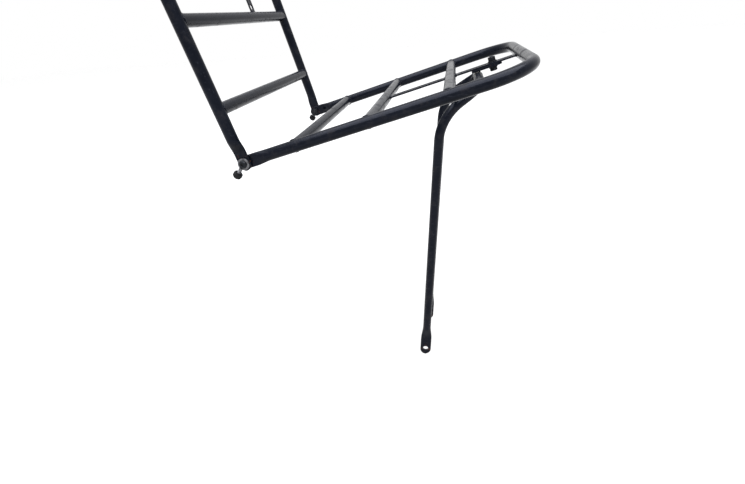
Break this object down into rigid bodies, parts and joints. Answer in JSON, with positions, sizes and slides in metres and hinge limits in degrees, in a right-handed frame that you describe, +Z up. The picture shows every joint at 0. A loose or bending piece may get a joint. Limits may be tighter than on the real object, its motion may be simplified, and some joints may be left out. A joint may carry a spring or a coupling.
{
  "type": "bicycle front carrier",
  "caption": "Tubular front load carrier for a roadster bicycle: sloping platform with round cross tubes, folding backrest, and an arched stay from the front axle.",
  "frame": {"origin": "centre of the front axle, midway between the two feet of the stay", "axes": "+X forward, +Y to the bicycle's left along the axle, +Z up"},
  "size_m": [0.4529, 0.3698, 0.703],
  "materials": {
    "black_paint": "satin",
    "zinc": "dull zinc plate",
    "black_zinc": "satin",
    "black_plastic": "matte"
  },
  "bodies": {
    "stay": {"stay_hoop": "black_paint", "stay_tab": "black_paint", "clamp_bolt": "black_zinc", "clamp_washer_lower": "black_zinc", "clamp_washer_upper": "black_zinc", "clamp_nut": "black_zinc"},
    "platform": {"platform_hoop": "black_paint", "slat_front": "black_paint", "slat_middle": "black_paint", "slat_rear": "black_paint", "centre_strip_rear": "black_paint", "centre_strip_front": "black_paint", "corner_bolt_left": "black_zinc", "corner_washer_left": "black_zinc", "corner_nut_left": "black_zinc", "lashing_stud_left": "zinc", "lashing_knob_left": "black_plastic", "corner_bolt_right": "black_zinc", "corner_washer_right": "black_zinc", "corner_nut_right": "black_zinc", "lashing_stud_right": "zinc", "lashing_knob_right": "black_plastic"},
    "backrest": {"backrest_hoop": "black_paint", "backrest_bar_lower": "black_paint", "backrest_bar_upper": "black_paint", "head_strap": "black_paint"}
  },
  "joints": [
    {"name": "platform_slide", "type": "slide", "parent": "stay", "child": "platform", "axis": [0.9659, 0, 0.2588], "range_m": [-0.018, 0.02]},
    {"name": "backrest_fold", "type": "hinge", "parent": "platform", "child": "backrest", "pos_m": [-0.225, 0, 0.405], "axis": [0, 1, 0], "range_deg": [0, 55]}
  ]
}
